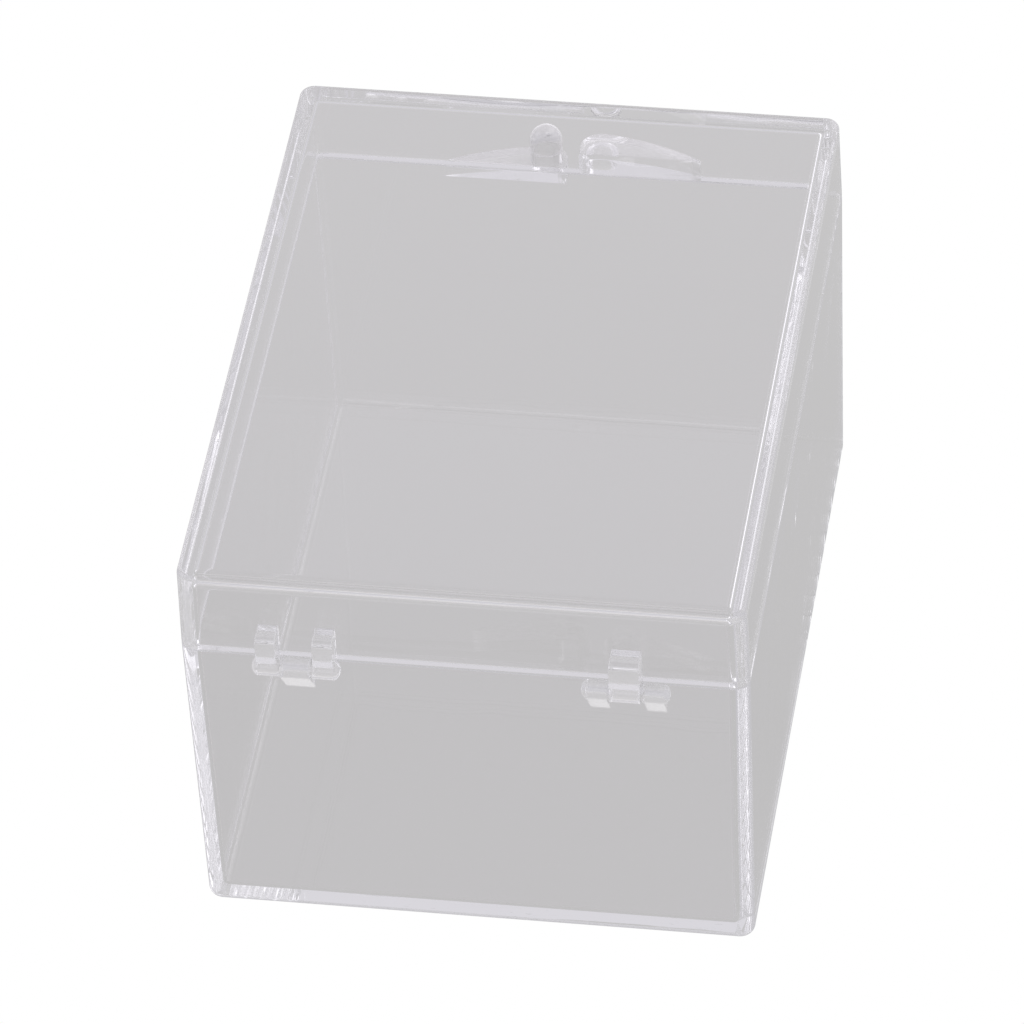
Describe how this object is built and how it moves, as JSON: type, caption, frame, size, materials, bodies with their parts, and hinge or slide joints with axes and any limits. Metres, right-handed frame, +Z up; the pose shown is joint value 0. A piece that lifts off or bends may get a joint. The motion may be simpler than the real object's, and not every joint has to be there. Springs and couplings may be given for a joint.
{
  "type": "pick box",
  "caption": "Small clear rectangular box for guitar picks, with a deep base, a shallow hinged lid and a split crescent thumb tab that snaps shut.",
  "frame": {"origin": "middle of the base's underside, halfway between the outside faces of the hinge wall and the latch wall", "axes": "+X along the hinge wall to the right seen from the hinge side, +Y from the hinge wall to the latch wall, +Z up out of the box"},
  "size_m": [0.045, 0.0652, 0.0357],
  "materials": {
    "clear_plastic_base": "polished clear polystyrene, water-white with a faint cool tint",
    "clear_plastic_lid": "polished clear polystyrene, water-white with a faint cool tint"
  },
  "bodies": {
    "base": {"base": "clear_plastic_base"},
    "lid": {"lid": "clear_plastic_lid"}
  },
  "joints": [
    {"name": "lid_hinge", "type": "hinge", "parent": "base", "child": "lid", "pos_m": [0, -0.0313, 0.02795], "axis": [1, 0, 0], "range_deg": [0, 180]}
  ]
}
